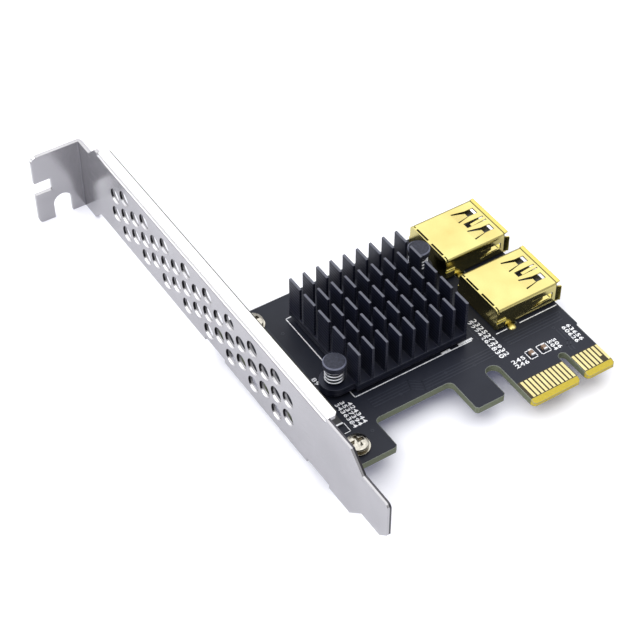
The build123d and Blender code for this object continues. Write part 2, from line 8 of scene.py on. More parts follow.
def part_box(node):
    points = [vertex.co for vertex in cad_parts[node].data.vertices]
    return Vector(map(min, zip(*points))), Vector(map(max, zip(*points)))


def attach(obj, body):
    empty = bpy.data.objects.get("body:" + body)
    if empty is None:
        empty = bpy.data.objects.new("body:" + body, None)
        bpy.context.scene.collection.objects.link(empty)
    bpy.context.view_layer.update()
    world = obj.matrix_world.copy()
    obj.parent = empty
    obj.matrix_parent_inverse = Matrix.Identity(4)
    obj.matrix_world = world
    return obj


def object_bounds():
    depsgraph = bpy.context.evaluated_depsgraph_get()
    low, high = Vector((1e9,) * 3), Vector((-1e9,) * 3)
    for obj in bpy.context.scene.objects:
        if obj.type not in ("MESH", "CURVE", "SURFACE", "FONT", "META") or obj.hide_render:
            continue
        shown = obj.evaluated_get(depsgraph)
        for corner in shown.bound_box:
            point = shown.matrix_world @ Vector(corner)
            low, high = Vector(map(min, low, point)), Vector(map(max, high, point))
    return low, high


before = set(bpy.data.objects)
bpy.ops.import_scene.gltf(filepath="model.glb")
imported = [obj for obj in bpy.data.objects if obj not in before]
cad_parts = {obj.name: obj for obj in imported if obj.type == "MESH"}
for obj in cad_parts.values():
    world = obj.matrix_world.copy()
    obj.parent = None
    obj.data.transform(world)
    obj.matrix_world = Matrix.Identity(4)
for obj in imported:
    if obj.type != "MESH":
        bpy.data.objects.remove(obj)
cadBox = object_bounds()
mm = 0.001  # the dictionaries give millimetres, and metres only for the lamps and the floor's size
print("frame loaded:", len(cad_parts), "nodes")


# colours and nodes

def srgb(code):
    # hex colour as painted, turned to the linear values that shaders take
    parts = [int(code[i:i + 2], 16) / 255 for i in (1, 3, 5)]
    return [*(c / 12.92 if c <= 0.04045 else ((c + 0.055) / 1.055) ** 2.4 for c in parts), 1]


def addNode(owner, kind, settings=None, inputs=None):
    node = owner.node_tree.nodes.new("ShaderNode" + kind)
    for name, value in (settings or {}).items():
        setattr(node, name, value)
    for name, value in (inputs or {}).items():
        if isinstance(value, bpy.types.NodeSocket):
            owner.node_tree.links.new(value, node.inputs[name])
        else:
            node.inputs[name].default_value = value
    return node


def startMaterial(name):
    # an empty material, its output, and Object coordinates in millimetres
    material = bpy.data.materials.new(name)
    material.use_nodes = True
    material.node_tree.nodes.clear()
    output = addNode(material, "OutputMaterial")
    place = addNode(material, "TexCoord")
    millimetres = addNode(material, "Mapping", None, {
        "Vector": place.outputs["Object"], "Scale": (1 / mm, 1 / mm, 1 / mm)})
    return material, output, millimetres.outputs["Vector"]


def finishMaterial(material, output, shader):
    material.node_tree.links.new(shader.outputs[0], output.inputs["Surface"])
    return material


# materials

noiseSpan = (0.3, 0.7)  # a noise texture's values lie mostly between these
waveLength = 0.314  # a wave texture of scale 1 repeats about this often
bevelSamples = 6
bumpStrength = 0.5


def nickelPlatedSteel():
    # bright nickel on rolled sheet: a cool grey mirror, softened by a faint grain along the strip,
    # which is drawn coarser than real so that it shows
    look = {
        "pale": "#acabae", "deep": "#949396", "mottle": 9.0, "grain": 0.12, "grainAlong": 0.04,
        "gloss": (0.18, 0.28), "relief": 0.004, "edge": 0.08, "cutFacing": 0.5,
        # the vents' walls, the long fold, the tab's bend and the flange's top and rim carry painted shade and
        # painted highlights
        "vents": ((-57.5, 17.0, -0.2), (-56.0, 93.0, 15.2)), "ventRougher": 0.2,
        "ventShade": "#29282b", "paintedHighlight": "#f4f3f6", "ventHighlightUp": (0.62, 0.78),
        "foldX": -56.2, "bendUp": (0.25, 0.32), "bendLean": -0.15,
        "foldShade": "#5d5b54", "foldShadeUp": (0.17, 0.1), "foldShadeLean": -0.6,
        "tabBendShade": "#6f6e73", "tabBendY": 104.0, "tabLean": -0.1,
        "torn": "#9b9a9e", "tornDark": "#434246", "tornX": (-56.45, 0.22), "flangeStartY": 7.2,
        "flange": "#cbcacc", "rim": "#4b4a45", "rimX": -54.45, "topZ": 16.6,
    }
    material, output, place = startMaterial("nickel plated steel")
    point = addNode(material, "SeparateXYZ", None, {"Vector": place})
    geometry = addNode(material, "NewGeometry")
    normal = addNode(material, "SeparateXYZ", None, {"Vector": geometry.outputs["True Normal"]})
    stretch = addNode(material, "Mapping", None, {"Vector": place, "Scale": (1, look["grainAlong"], 1)})
    grain = addNode(material, "TexNoise", None, {
        "Vector": stretch.outputs[0], "Scale": 1 / look["grain"], "Detail": 3.0})
    mottle = addNode(material, "TexNoise", None, {
        "Vector": place, "Scale": 1 / look["mottle"], "Detail": 2.0})
    tint = addNode(material, "Mix", {"data_type": "RGBA"}, {
        0: mottle.outputs["Fac"], 6: srgb(look["deep"]), 7: srgb(look["pale"])})
    # the punch leaves the vents' walls rough; their colour is painted shade, with a painted highlight where
    # they face up
    facing = addNode(material, "Math", {"operation": "ABSOLUTE"}, {0: normal.outputs["X"]})
    cutFace = addNode(material, "Math", {"operation": "LESS_THAN"}, {
        0: facing.outputs[0], 1: look["cutFacing"]})
    ventWall = cutFace
    for n, axis in enumerate("XYZ"):
        low, high = look["vents"][0][n], look["vents"][1][n]
        # one inside the span, and nothing outside it
        inSpan = addNode(material, "Math", {"operation": "COMPARE"}, {
            0: point.outputs[axis], 1: (low + high) / 2, 2: (high - low) / 2})
        ventWall = addNode(material, "Math", {"operation": "MULTIPLY"}, {
            0: ventWall.outputs[0], 1: inSpan.outputs[0]})
    upward = addNode(material, "MapRange", None, {
        "Value": normal.outputs["Z"],
        "From Min": look["ventHighlightUp"][0], "From Max": look["ventHighlightUp"][1]})
    ventLightAndShade = addNode(material, "Mix", {"data_type": "RGBA"}, {
        0: upward.outputs[0], 6: srgb(look["ventShade"]), 7: srgb(look["paintedHighlight"])})
    withVentShading = addNode(material, "Mix", {"data_type": "RGBA"}, {
        0: ventWall.outputs[0], 6: tint.outputs[2], 7: ventLightAndShade.outputs[2]})
    # a painted highlight runs along the long fold's bend
    nearFold = addNode(material, "Math", {"operation": "LESS_THAN"}, {
        0: point.outputs["X"], 1: look["foldX"]})
    bend = addNode(material, "MapRange", None, {
        "Value": normal.outputs["Z"], "From Min": look["bendUp"][0], "From Max": look["bendUp"][1]})
    leaning = addNode(material, "Math", {"operation": "LESS_THAN"}, {
        0: normal.outputs["X"], 1: look["bendLean"]})
    bend = addNode(material, "Math", {"operation": "MULTIPLY"}, {0: bend.outputs[0], 1: leaning.outputs[0]})
    bend = addNode(material, "Math", {"operation": "MULTIPLY"}, {0: bend.outputs[0], 1: nearFold.outputs[0]})
    foldHighlighted = addNode(material, "Mix", {"data_type": "RGBA"}, {
        0: bend.outputs[0], 6: withVentShading.outputs[2], 7: srgb(look["paintedHighlight"])})
    # painted shade on the inside of the tab's bend
    nearTab = addNode(material, "Math", {"operation": "GREATER_THAN"}, {
        0: point.outputs["Y"], 1: look["tabBendY"]})
    leanX = addNode(material, "Math", {"operation": "LESS_THAN"}, {
        0: normal.outputs["X"], 1: look["tabLean"]})
    leanY = addNode(material, "Math", {"operation": "LESS_THAN"}, {
        0: normal.outputs["Y"], 1: look["tabLean"]})
    inBend = addNode(material, "Math", {"operation": "MULTIPLY"}, {0: leanX.outputs[0], 1: leanY.outputs[0]})
    inBend = addNode(material, "Math", {"operation": "MULTIPLY"}, {
        0: inBend.outputs[0], 1: nearTab.outputs[0]})
    tabBendShade = addNode(material, "Mix", {"data_type": "RGBA"}, {
        0: inBend.outputs[0], 6: foldHighlighted.outputs[2], 7: srgb(look["tabBendShade"])})
    # a line of painted shade runs along the outside of the long fold, just before it turns
    turning = addNode(material, "Math", {"operation": "COMPARE"}, {
        0: normal.outputs["Z"], 1: look["foldShadeUp"][0], 2: look["foldShadeUp"][1]})
    outside = addNode(material, "Math", {"operation": "LESS_THAN"}, {
        0: normal.outputs["X"], 1: look["foldShadeLean"]})
    foldShadeLine = addNode(material, "Math", {"operation": "MULTIPLY"}, {
        0: nearFold.outputs[0], 1: turning.outputs[0]})
    foldShadeLine = addNode(material, "Math", {"operation": "MULTIPLY"}, {
        0: foldShadeLine.outputs[0], 1: outside.outputs[0]})
    folded = addNode(material, "Mix", {"data_type": "RGBA"}, {
        0: foldShadeLine.outputs[0], 6: tabBendShade.outputs[2], 7: srgb(look["foldShade"])})
    # a cut edge is smooth for half the sheet's thickness and torn for the rest, darkest beyond the flange
    # the flange's top is no cut edge, but past its end the plate's top is one
    innerHalf = addNode(material, "Math", {"operation": "COMPARE"}, {
        0: point.outputs["X"], 1: look["tornX"][0], 2: look["tornX"][1]})
    beyond = addNode(material, "Math", {"operation": "LESS_THAN"}, {
        0: point.outputs["Y"], 1: look["flangeStartY"]})
    belowTop = addNode(material, "Math", {"operation": "LESS_THAN"}, {
        0: point.outputs["Z"], 1: look["topZ"]})
    offFlange = addNode(material, "Math", {"operation": "MAXIMUM"}, {
        0: beyond.outputs[0], 1: belowTop.outputs[0]})
    torn = addNode(material, "Math", {"operation": "MULTIPLY"}, {
        0: innerHalf.outputs[0], 1: cutFace.outputs[0]})
    torn = addNode(material, "Math", {"operation": "MULTIPLY"}, {0: torn.outputs[0], 1: offFlange.outputs[0]})
    tornTint = addNode(material, "Mix", {"data_type": "RGBA"}, {
        0: beyond.outputs[0], 6: srgb(look["torn"]), 7: srgb(look["tornDark"])})
    withTorn = addNode(material, "Mix", {"data_type": "RGBA"}, {
        0: torn.outputs[0], 6: folded.outputs[2], 7: tornTint.outputs[2]})
    # the flange's top gets a paler colour as a painted highlight, up to a thin line of painted shade at its
    # rim
    onTop = addNode(material, "Math", {"operation": "GREATER_THAN"}, {
        0: point.outputs["Z"], 1: look["topZ"]})
    pastFold = addNode(material, "Math", {"operation": "GREATER_THAN"}, {
        0: point.outputs["X"], 1: look["foldX"]})
    flange = addNode(material, "Math", {"operation": "MULTIPLY"}, {
        0: pastFold.outputs[0], 1: onTop.outputs[0]})
    polished = addNode(material, "Mix", {"data_type": "RGBA"}, {
        0: flange.outputs[0], 6: withTorn.outputs[2], 7: srgb(look["flange"])})
    # a thin line of painted shade along the flange's outer rim
    outermost = addNode(material, "Math", {"operation": "GREATER_THAN"}, {
        0: point.outputs["X"], 1: look["rimX"]})
    rim = addNode(material, "Math", {"operation": "MULTIPLY"}, {0: outermost.outputs[0], 1: onTop.outputs[0]})
    colour = addNode(material, "Mix", {"data_type": "RGBA"}, {
        0: rim.outputs[0], 6: polished.outputs[2], 7: srgb(look["rim"])})
    gloss = addNode(material, "MapRange", None, {
        "Value": grain.outputs["Fac"], "From Min": noiseSpan[0], "From Max": noiseSpan[1],
        "To Min": look["gloss"][0], "To Max": look["gloss"][1]})
    rough = addNode(material, "Math", {"operation": "MULTIPLY_ADD"}, {
        0: ventWall.outputs[0], 1: look["ventRougher"], 2: gloss.outputs[0]})
    edge = addNode(material, "Bevel", {"samples": bevelSamples}, {"Radius": look["edge"] * mm})
    bump = addNode(material, "Bump", None, {
        "Strength": bumpStrength, "Distance": look["relief"] * mm, "Height": grain.outputs["Fac"],
        "Normal": edge.outputs[0]})
    shader = addNode(material, "BsdfPrincipled", None, {
        "Base Color": colour.outputs[2], "Metallic": 1.0, "Roughness": rough.outputs[0],
        "Normal": bump.outputs[0]})
    return finishMaterial(material, output, shader)


def platedScrewSteel():
    # small bright parts, plated in a barrel: a little rougher than the sheet and slightly warm
    # the upright walls, the cross recess among them, carry a painted brown shade
    look = {
        "pale": "#d0ccc2", "deep": "#5b574d", "mottle": 0.7, "gloss": (0.12, 0.26), "edge": 0.1,
        "wall": "#5c523a", "wallUp": (0.2, 0.6),
    }
    material, output, place = startMaterial("barrel plated steel")
    geometry = addNode(material, "NewGeometry")
    normal = addNode(material, "SeparateXYZ", None, {"Vector": geometry.outputs["True Normal"]})
    # painted shade on the upright walls, fading out as they turn to face up
    wall = addNode(material, "MapRange", None, {
        "Value": normal.outputs["Z"], "From Min": look["wallUp"][0], "From Max": look["wallUp"][1],
        "To Min": 1.0, "To Max": 0.0})
    mottle = addNode(material, "TexNoise", None, {
        "Vector": place, "Scale": 1 / look["mottle"], "Detail": 4.0})
    tint = addNode(material, "Mix", {"data_type": "RGBA"}, {
        0: mottle.outputs["Fac"], 6: srgb(look["deep"]), 7: srgb(look["pale"])})
    colour = addNode(material, "Mix", {"data_type": "RGBA"}, {
        0: wall.outputs[0], 6: tint.outputs[2], 7: srgb(look["wall"])})
    gloss = addNode(material, "MapRange", None, {
        "Value": mottle.outputs["Fac"], "From Min": noiseSpan[0], "From Max": noiseSpan[1],
        "To Min": look["gloss"][0], "To Max": look["gloss"][1]})
    edge = addNode(material, "Bevel", {"samples": bevelSamples}, {"Radius": look["edge"] * mm})
    shader = addNode(material, "BsdfPrincipled", None, {
        "Base Color": colour.outputs[2], "Metallic": 1.0, "Roughness": gloss.outputs[0],
        "Normal": edge.outputs[0]})
    return finishMaterial(material, output, shader)


def drawnSpringWire():
    # drawn steel wire: bright and satin, with die marks that are drawn coarser than real
    look = {"pale": "#e6e7ea", "deep": "#b4b5bb", "lines": 0.3, "roughness": 0.36}
    material, output, place = startMaterial("drawn spring wire")
    lines = addNode(material, "TexNoise", None, {"Vector": place, "Scale": 1 / look["lines"], "Detail": 2.0})
    tint = addNode(material, "Mix", {"data_type": "RGBA"}, {
        0: lines.outputs["Fac"], 6: srgb(look["deep"]), 7: srgb(look["pale"])})
    shader = addNode(material, "BsdfPrincipled", None, {
        "Base Color": tint.outputs[2], "Metallic": 1.0, "Roughness": look["roughness"]})
    return finishMaterial(material, output, shader)


def flashGoldContacts():
    # a flash of hard gold over nickel, thin and even: a pale warm mirror
    look = {
        "pale": "#c2b98a", "deep": "#a99d6c", "wave": 2.5, "speck": 0.2, "gloss": (0.22, 0.3),
        "swell": 0.003, "edge": 0.03,
    }
    material, output, place = startMaterial("flash gold contacts")
    wave = addNode(material, "TexNoise", None, {"Vector": place, "Scale": 1 / look["wave"], "Detail": 1.5})
    speck = addNode(material, "TexNoise", None, {"Vector": place, "Scale": 1 / look["speck"], "Detail": 3.0})
    tint = addNode(material, "Mix", {"data_type": "RGBA"}, {
        0: wave.outputs["Fac"], 6: srgb(look["deep"]), 7: srgb(look["pale"])})
    gloss = addNode(material, "MapRange", None, {
        "Value": speck.outputs["Fac"], "From Min": noiseSpan[0], "From Max": noiseSpan[1],
        "To Min": look["gloss"][0], "To Max": look["gloss"][1]})
    edge = addNode(material, "Bevel", {"samples": bevelSamples}, {"Radius": look["edge"] * mm})
    bump = addNode(material, "Bump", None, {
        "Strength": bumpStrength, "Distance": look["swell"] * mm, "Height": wave.outputs["Fac"],
        "Normal": edge.outputs[0]})
    shader = addNode(material, "BsdfPrincipled", None, {
        "Base Color": tint.outputs[2], "Metallic": 1.0, "Roughness": gloss.outputs[0],
        "Normal": bump.outputs[0]})
    return finishMaterial(material, output, shader)


def polishedGoldShell():
    # gold over a stamped and polished shell: a warm mirror with slow waves from the press
    look = {
        "pale": "#bdb97c", "deep": "#ae9a5e", "wave": 6.0, "speck": 0.4, "gloss": (0.16, 0.24),
        "swell": 0.012, "edge": 0.12,
        "lip": "#b4a75c", "lipX": 7.95, "creaseShade": "#4e4a2e", "creaseHalf": 0.13,
        "slit": "#1d1a10", "slitX": (-6.88, 0.24), "slitY": (26.5, 44.2), "slitSpan": (2.68, 2.05),
        "slitZ": 6.4, "bend": "#857c48", "bendFar": (0.2, 0.5), "bendUp": 0.2,
    }
    material, output, place = startMaterial("polished gold shell")
    point = addNode(material, "SeparateXYZ", None, {"Vector": place})
    geometry = addNode(material, "NewGeometry")
    normal = addNode(material, "SeparateXYZ", None, {"Vector": geometry.outputs["True Normal"]})
    wave = addNode(material, "TexNoise", None, {"Vector": place, "Scale": 1 / look["wave"], "Detail": 1.5})
    speck = addNode(material, "TexNoise", None, {"Vector": place, "Scale": 1 / look["speck"], "Detail": 3.0})
    tint = addNode(material, "Mix", {"data_type": "RGBA"}, {
        0: wave.outputs["Fac"], 6: srgb(look["deep"]), 7: srgb(look["pale"])})
    # the flared lip is yellower, with a line of painted shade where it starts
    flared = addNode(material, "Math", {"operation": "GREATER_THAN"}, {
        0: point.outputs["X"], 1: look["lipX"]})
    withLip = addNode(material, "Mix", {"data_type": "RGBA"}, {
        0: flared.outputs[0], 6: tint.outputs[2], 7: srgb(look["lip"])})
    onCrease = addNode(material, "Math", {"operation": "COMPARE"}, {
        0: point.outputs["X"], 1: look["lipX"], 2: look["creaseHalf"]})
    slitted = addNode(material, "Mix", {"data_type": "RGBA"}, {
        0: onCrease.outputs[0], 6: withLip.outputs[2], 7: srgb(look["creaseShade"])})
    # painted shade on the top along the rear slits
    nearRear = addNode(material, "Math", {"operation": "COMPARE"}, {
        0: point.outputs["X"], 1: look["slitX"][0], 2: look["slitX"][1]})
    raised = addNode(material, "Math", {"operation": "GREATER_THAN"}, {
        0: point.outputs["Z"], 1: look["slitZ"]})
    for centre in look["slitY"]:
        offset = addNode(material, "Math", {"operation": "SUBTRACT"}, {0: point.outputs["Y"], 1: centre})
        apart = addNode(material, "Math", {"operation": "ABSOLUTE"}, {0: offset.outputs[0]})
        within = addNode(material, "Math", {"operation": "COMPARE"}, {
            0: apart.outputs[0], 1: look["slitSpan"][0], 2: look["slitSpan"][1]})
        within = addNode(material, "Math", {"operation": "MULTIPLY"}, {
            0: within.outputs[0], 1: nearRear.outputs[0]})
        within = addNode(material, "Math", {"operation": "MULTIPLY"}, {
            0: within.outputs[0], 1: raised.outputs[0]})
        slitted = addNode(material, "Mix", {"data_type": "RGBA"}, {
            0: within.outputs[0], 6: slitted.outputs[2], 7: srgb(look["slit"])})
    # painted shade along the far bend
    farSide = addNode(material, "MapRange", None, {
        "Value": normal.outputs["Y"], "From Min": look["bendFar"][0], "From Max": look["bendFar"][1]})
    upward = addNode(material, "Math", {"operation": "GREATER_THAN"}, {
        0: normal.outputs["Z"], 1: look["bendUp"]})
    bend = addNode(material, "Math", {"operation": "MULTIPLY"}, {0: farSide.outputs[0], 1: upward.outputs[0]})
    colour = addNode(material, "Mix", {"data_type": "RGBA"}, {
        0: bend.outputs[0], 6: slitted.outputs[2], 7: srgb(look["bend"])})
    gloss = addNode(material, "MapRange", None, {
        "Value": speck.outputs["Fac"], "From Min": noiseSpan[0], "From Max": noiseSpan[1],
        "To Min": look["gloss"][0], "To Max": look["gloss"][1]})
    edge = addNode(material, "Bevel", {"samples": bevelSamples}, {"Radius": look["edge"] * mm})
    bump = addNode(material, "Bump", None, {
        "Strength": bumpStrength, "Distance": look["swell"] * mm, "Height": wave.outputs["Fac"],
        "Normal": edge.outputs[0]})
    shader = addNode(material, "BsdfPrincipled", None, {
        "Base Color": colour.outputs[2], "Metallic": 1.0, "Roughness": gloss.outputs[0],
        "Normal": bump.outputs[0]})
    return finishMaterial(material, output, shader)


def blackAnodisedAluminium():
    # extruded, sawn across and anodised black: deep and matt, with painted grey highlights on tops and edges
    # its saw lines and the die's level ribs are drawn coarser than real so that they show
    look = {
        "deep": "#0e111d", "pale": "#1c2034", "cloud": 3.0, "edgeAndTopHighlight": "#4f515c", "highlightZ": 12.1,
        "edgeHighlightSpan": (0.85, 0.99), "edgeHighlightStrength": 0.6, "saw": 0.16, "sawAlong": 0.12, "sawDepth": 0.01,
        "rib": 0.8, "ribDepth": 0.035, "ribStrength": 0.8, "edge": 0.16,
        "metallic": 0.35, "roughness": 0.42,
    }
    material, output, place = startMaterial("black anodised aluminium")
    point = addNode(material, "SeparateXYZ", None, {"Vector": place})
    geometry = addNode(material, "NewGeometry")
    cloud = addNode(material, "TexNoise", None, {"Vector": place, "Scale": 1 / look["cloud"], "Detail": 3.0})
    tint = addNode(material, "Mix", {"data_type": "RGBA"}, {
        0: cloud.outputs["Fac"], 6: srgb(look["deep"]), 7: srgb(look["pale"])})
    # the fins' tops get a painted grey highlight
    top = addNode(material, "Math", {"operation": "GREATER_THAN"}, {
        0: point.outputs["Z"], 1: look["highlightZ"]})
    withTop = addNode(material, "Mix", {"data_type": "RGBA"}, {
        0: top.outputs[0], 6: tint.outputs[2], 7: srgb(look["edgeAndTopHighlight"])})
    edge = addNode(material, "Bevel", {"samples": bevelSamples}, {"Radius": look["edge"] * mm})
    turned = addNode(material, "VectorMath", {"operation": "DOT_PRODUCT"}, {
        0: edge.outputs[0], 1: geometry.outputs["True Normal"]})
    # the edges get the same painted grey highlight
    onEdge = addNode(material, "MapRange", None, {
        "Value": turned.outputs["Value"], "From Min": look["edgeHighlightSpan"][0],
        "From Max": look["edgeHighlightSpan"][1], "To Min": look["edgeHighlightStrength"], "To Max": 0.0})
    colour = addNode(material, "Mix", {"data_type": "RGBA"}, {
        0: onEdge.outputs[0], 6: withTop.outputs[2], 7: srgb(look["edgeAndTopHighlight"])})
    stretch = addNode(material, "Mapping", None, {"Vector": place, "Scale": (1, 1, look["sawAlong"])})
    saw = addNode(material, "TexNoise", None, {
        "Vector": stretch.outputs[0], "Scale": 1 / look["saw"], "Detail": 2.0})
    sawn = addNode(material, "Bump", None, {
        "Strength": bumpStrength, "Distance": look["sawDepth"] * mm, "Height": saw.outputs["Fac"],
        "Normal": edge.outputs[0]})
    ribs = addNode(material, "TexWave", {"bands_direction": "Z"}, {
        "Vector": place, "Scale": waveLength / look["rib"]})
    ribbed = addNode(material, "Bump", None, {
        "Strength": look["ribStrength"], "Distance": look["ribDepth"] * mm, "Height": ribs.outputs["Fac"],
        "Normal": sawn.outputs[0]})
    shader = addNode(material, "BsdfPrincipled", None, {
        "Base Color": colour.outputs[2], "Metallic": look["metallic"], "Roughness": look["roughness"],
        "Normal": ribbed.outputs[0]})
    return finishMaterial(material, output, shader)


rimSlant = (0.6, 0.3)  # how far a slanting rim's normal points up, and the give either way


def mouldedPlastic(name, look):
    # moulded part: even colour, with the fine grit of the mould on it, and a painted highlight on slanting
    # rims
    material, output, place = startMaterial(name)
    grit = addNode(material, "TexNoise", None, {"Vector": place, "Scale": 1 / look["grit"], "Detail": 3.0})
    tint = addNode(material, "Mix", {"data_type": "RGBA"}, {
        0: grit.outputs["Fac"], 6: srgb(look["deep"]), 7: srgb(look["pale"])})
    geometry = addNode(material, "NewGeometry")
    normal = addNode(material, "SeparateXYZ", None, {"Vector": geometry.outputs["True Normal"]})
    # slanting faces take the rim colour, a painted highlight
    slant = addNode(material, "Math", {"operation": "COMPARE"}, {
        0: normal.outputs["Z"], 1: rimSlant[0], 2: rimSlant[1]})
    colour = addNode(material, "Mix", {"data_type": "RGBA"}, {
        0: slant.outputs[0], 6: tint.outputs[2], 7: srgb(look["rim"])})
    edge = addNode(material, "Bevel", {"samples": bevelSamples}, {"Radius": look["edge"] * mm})
    bump = addNode(material, "Bump", None, {
        "Strength": bumpStrength, "Distance": look["relief"] * mm, "Height": grit.outputs["Fac"],
        "Normal": edge.outputs[0]})
    shader = addNode(material, "BsdfPrincipled", None, {
        "Base Color": colour.outputs[2], "Roughness": look["roughness"], "IOR": look["ior"],
        "Normal": bump.outputs[0]})
    return finishMaterial(material, output, shader)


def maskedLaminate():
    # solder mask over glass cloth: dark and satin, greenish resin at the cut edges,
    # bare brown between the fingers and yellow where the tongue is bevelled
    look = {
        "mask": "#1a1c26", "maskPale": "#252832", "cloud": 7.0, "roughness": 0.4, "ior": 1.25,
        "cut": "#5a604e", "cutPale": "#767c6a", "fibre": 0.35, "cutFacing": 0.5, "cutRougher": 0.25,
        "bare": "#3a3424", "maskStartY": 6.1, "tongueStartX": -12.6,
        "bevel": "#a8952f", "bevelPale": "#c8b545", "bevelEndY": 1.3,
        "edgeBreakHighlight": "#8f948c", "brokenSpan": (0.92, 0.995), "edge": 0.26,
        "cloth": 0.45, "relief": 0.004,
    }
    material, output, place = startMaterial("masked glass laminate")
    point = addNode(material, "SeparateXYZ", None, {"Vector": place})
    geometry = addNode(material, "NewGeometry")
    normal = addNode(material, "SeparateXYZ", None, {"Vector": geometry.outputs["Normal"]})
    cloud = addNode(material, "TexNoise", None, {"Vector": place, "Scale": 1 / look["cloud"], "Detail": 4.0})
    mask = addNode(material, "Mix", {"data_type": "RGBA"}, {
        0: cloud.outputs["Fac"], 6: srgb(look["mask"]), 7: srgb(look["maskPale"])})
    # the tongue has no mask
    below = addNode(material, "Math", {"operation": "LESS_THAN"}, {
        0: point.outputs["Y"], 1: look["maskStartY"]})
    right = addNode(material, "Math", {"operation": "GREATER_THAN"}, {
        0: point.outputs["X"], 1: look["tongueStartX"]})
    tongue = addNode(material, "Math", {"operation": "MULTIPLY"}, {0: below.outputs[0], 1: right.outputs[0]})
    withBare = addNode(material, "Mix", {"data_type": "RGBA"}, {
        0: tongue.outputs[0], 6: mask.outputs[2], 7: srgb(look["bare"])})
    # cut edges and the bevel show the cloth's fibres
    fibre = addNode(material, "TexNoise", None, {"Vector": place, "Scale": 1 / look["fibre"], "Detail": 3.0})
    upright = addNode(material, "Math", {"operation": "ABSOLUTE"}, {0: normal.outputs["Z"]})
    side = addNode(material, "Math", {"operation": "LESS_THAN"}, {
        0: upright.outputs[0], 1: look["cutFacing"]})
    cut = addNode(material, "Mix", {"data_type": "RGBA"}, {
        0: fibre.outputs["Fac"], 6: srgb(look["cut"]), 7: srgb(look["cutPale"])})
    withCut = addNode(material, "Mix", {"data_type": "RGBA"}, {
        0: side.outputs[0], 6: withBare.outputs[2], 7: cut.outputs[2]})
    tip = addNode(material, "Math", {"operation": "LESS_THAN"}, {
        0: point.outputs["Y"], 1: look["bevelEndY"]})
    bevel = addNode(material, "Mix", {"data_type": "RGBA"}, {
        0: fibre.outputs["Fac"], 6: srgb(look["bevel"]), 7: srgb(look["bevelPale"])})
    withBevel = addNode(material, "Mix", {"data_type": "RGBA"}, {
        0: tip.outputs[0], 6: withCut.outputs[2], 7: bevel.outputs[2]})
    # the router breaks the mask along every edge, and the pale line there is partly a painted highlight
    edge = addNode(material, "Bevel", {"samples": bevelSamples}, {"Radius": look["edge"] * mm})
    turned = addNode(material, "VectorMath", {"operation": "DOT_PRODUCT"}, {
        0: edge.outputs[0], 1: geometry.outputs["True Normal"]})
    onEdge = addNode(material, "MapRange", None, {
        "Value": turned.outputs["Value"], "From Min": look["brokenSpan"][0],
        "From Max": look["brokenSpan"][1], "To Min": 1.0, "To Max": 0.0})
    colour = addNode(material, "Mix", {"data_type": "RGBA"}, {
        0: onEdge.outputs[0], 6: withBevel.outputs[2], 7: srgb(look["edgeBreakHighlight"])})
    rough = addNode(material, "Math", {"operation": "MULTIPLY_ADD"}, {
        0: side.outputs[0], 1: look["cutRougher"], 2: look["roughness"]})
    warp = addNode(material, "TexWave", {"bands_direction": "X"}, {
        "Vector": place, "Scale": waveLength / look["cloth"]})
    weft = addNode(material, "TexWave", {"bands_direction": "Y"}, {
        "Vector": place, "Scale": waveLength / look["cloth"]})
    weave = addNode(material, "Math", {"operation": "ADD"}, {0: warp.outputs["Fac"], 1: weft.outputs["Fac"]})
    bump = addNode(material, "Bump", None, {
        "Strength": bumpStrength, "Distance": look["relief"] * mm, "Height": weave.outputs[0],
        "Normal": edge.outputs[0]})
    shader = addNode(material, "BsdfPrincipled", None, {
        "Base Color": colour.outputs[2], "Roughness": rough.outputs[0], "IOR": look["ior"],
        "Normal": bump.outputs[0]})
    return finishMaterial(material, output, shader)


def firedCeramic():
    # small fired block: brown, matt and slightly speckled
    look = {"deep": "#5c4636", "pale": "#8a6c54", "speck": 0.12, "edge": 0.05, "roughness": 0.5, "ior": 1.6}
    material, output, place = startMaterial("fired ceramic")
    speck = addNode(material, "TexNoise", None, {"Vector": place, "Scale": 1 / look["speck"], "Detail": 4.0})
    tint = addNode(material, "Mix", {"data_type": "RGBA"}, {
        0: speck.outputs["Fac"], 6: srgb(look["deep"]), 7: srgb(look["pale"])})
    edge = addNode(material, "Bevel", {"samples": bevelSamples}, {"Radius": look["edge"] * mm})
    shader = addNode(material, "BsdfPrincipled", None, {
        "Base Color": tint.outputs[2], "Roughness": look["roughness"], "IOR": look["ior"],
        "Normal": edge.outputs[0]})
    return finishMaterial(material, output, shader)


def reflowedSolder(name, look):
    # solder that has flowed and set: bright and uneven
    material, output, place = startMaterial(name)
    ripple = addNode(material, "TexNoise", None, {
        "Vector": place, "Scale": 1 / look["ripple"], "Detail": 2.0})
    tint = addNode(material, "Mix", {"data_type": "RGBA"}, {
        0: ripple.outputs["Fac"], 6: srgb(look["deep"]), 7: srgb(look["pale"])})
    bump = addNode(material, "Bump", None, {
        "Strength": look["bump"], "Distance": look["relief"] * mm, "Height": ripple.outputs["Fac"]})
    shader = addNode(material, "BsdfPrincipled", None, {
        "Base Color": tint.outputs[2], "Metallic": 1.0, "Roughness": look["roughness"],
        "Normal": bump.outputs["Normal"]})
    return finishMaterial(material, output, shader)


